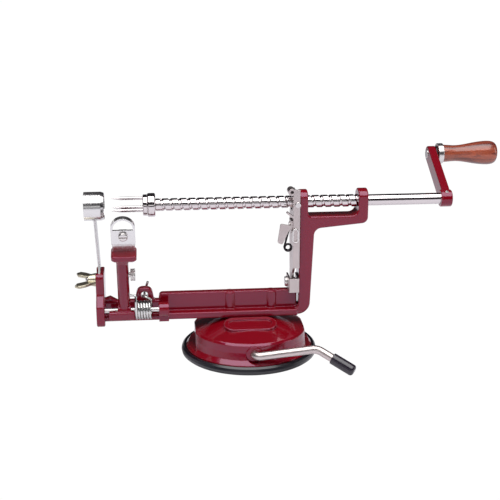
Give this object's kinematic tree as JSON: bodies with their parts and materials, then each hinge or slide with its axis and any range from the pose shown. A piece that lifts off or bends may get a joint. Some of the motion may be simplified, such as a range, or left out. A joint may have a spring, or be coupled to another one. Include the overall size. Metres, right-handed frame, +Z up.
{
  "type": "apple peeler corer",
  "caption": "Hand-cranked apple peeler and corer: a threaded feed shaft in a red cast frame on a suction base, with a sprung peeling arm and a ring corer.",
  "frame": {"origin": "centre of the suction cup's underside, on the table", "axes": "+X along the shaft towards the crank, +Y to the back, away from the peeling arm, +Z up"},
  "size_m": [0.3199, 0.1134, 0.1467],
  "materials": {
    "red_casting": "deep red gloss enamel on cast metal",
    "shaft_chrome": "bright nickel-chrome plate",
    "plated_steel": "pale zinc plate, satin",
    "lever_steel": "pale zinc-plated pressed sheet",
    "blade_steel": "ground stainless steel",
    "spring_steel": "bright drawn spring wire",
    "dark_steel": "blackened steel",
    "nut_nickel": "dull nickel over brass",
    "cup_rubber": "smooth black rubber",
    "tip_vinyl": "dipped black vinyl",
    "grip_wood": "reddish stained and lacquered beech"
  },
  "bodies": {
    "frame": {"frame_casting": "red_casting", "base_housing": "red_casting", "base_screws": "plated_steel", "suction_cup": "cup_rubber", "slicing_blade": "blade_steel", "coring_ring": "blade_steel", "blade_bolt": "plated_steel", "bolt_washer": "plated_steel", "pivot_rod": "plated_steel", "torsion_spring": "spring_steel", "lever_bracket": "lever_steel", "lever_pivot_screw": "plated_steel", "lever_spring": "spring_steel"},
    "suction_handle": {"cam_shaft": "plated_steel", "suction_lever": "lever_steel", "lever_tip": "tip_vinyl"},
    "cup_stud": {"pull_stud": "plated_steel"},
    "blade_nut": {"wing_nut": "nut_nickel"},
    "peel_arm": {"peeling_arm": "red_casting", "blade_holder": "blade_steel", "holder_rivets": "plated_steel", "peeler_blade": "blade_steel", "peeler_screw": "plated_steel", "arm_stud": "plated_steel"},
    "feed": {"feed_collar": "shaft_chrome"},
    "crank_shaft": {"threaded_shaft": "shaft_chrome", "fruit_fork": "shaft_chrome", "crank_arm": "red_casting", "crank_pin": "plated_steel", "handle_pin": "plated_steel", "handle_washer": "dark_steel"},
    "grip": {"grip_ferrule": "plated_steel", "wooden_grip": "grip_wood"},
    "release_lever": {"release_plate": "lever_steel", "release_pin": "plated_steel", "thumb_tab": "lever_steel", "tab_rivet": "plated_steel", "trip_link": "plated_steel", "trip_spring": "dark_steel"}
  },
  "joints": [
    {"name": "shaft_feed", "type": "slide", "parent": "frame", "child": "feed", "axis": [1, 0, 0], "range_m": [-0.0291, 0.0901]},
    {"name": "crank_spin", "type": "hinge", "parent": "feed", "child": "crank_shaft", "pos_m": [0, 0, 0.113], "axis": [1, 0, 0], "range_deg": [-1644, 5102]},
    {"name": "grip_spin", "type": "hinge", "parent": "crank_shaft", "child": "grip", "pos_m": [0.15, 0.04352, 0.13762], "axis": [1, 0, 0], "continuous": true},
    {"name": "release_swing", "type": "hinge", "parent": "frame", "child": "release_lever", "pos_m": [0.0318, 0, 0.053], "axis": [1, 0, 0], "range_deg": [0, 4], "stiffness_Nm_per_rad": 0.4, "springref_deg": -17.19, "deforming": ["lever_spring"]},
    {"name": "arm_swing", "type": "hinge", "parent": "frame", "child": "peel_arm", "pos_m": [-0.0906, -0.013, 0.039], "axis": [1, 0, 0], "range_deg": [-14, 35], "stiffness_Nm_per_rad": 0.1, "springref_deg": -3.44, "deforming": ["torsion_spring"]},
    {"name": "wing_nut_turn", "type": "hinge", "parent": "frame", "child": "blade_nut", "pos_m": [-0.113, 0, 0.0584], "axis": [1, 0, 0], "continuous": true},
    {"name": "suction_swing", "type": "hinge", "parent": "frame", "child": "suction_handle", "pos_m": [0, -0.04, 0.013], "axis": [0, -1, 0], "range_deg": [0, 170]},
    {"name": "stud_lift", "type": "slide", "parent": "frame", "child": "cup_stud", "axis": [0, 0, 1], "range_m": [0, 0.0051]}
  ],
  "couplings": [
    {"joint": "shaft_feed", "follows": "crank_spin", "m_per_rad": 0.0010106},
    {"joint": "stud_lift", "follows": "suction_swing", "m_per_rad": 0.0016852}
  ]
}
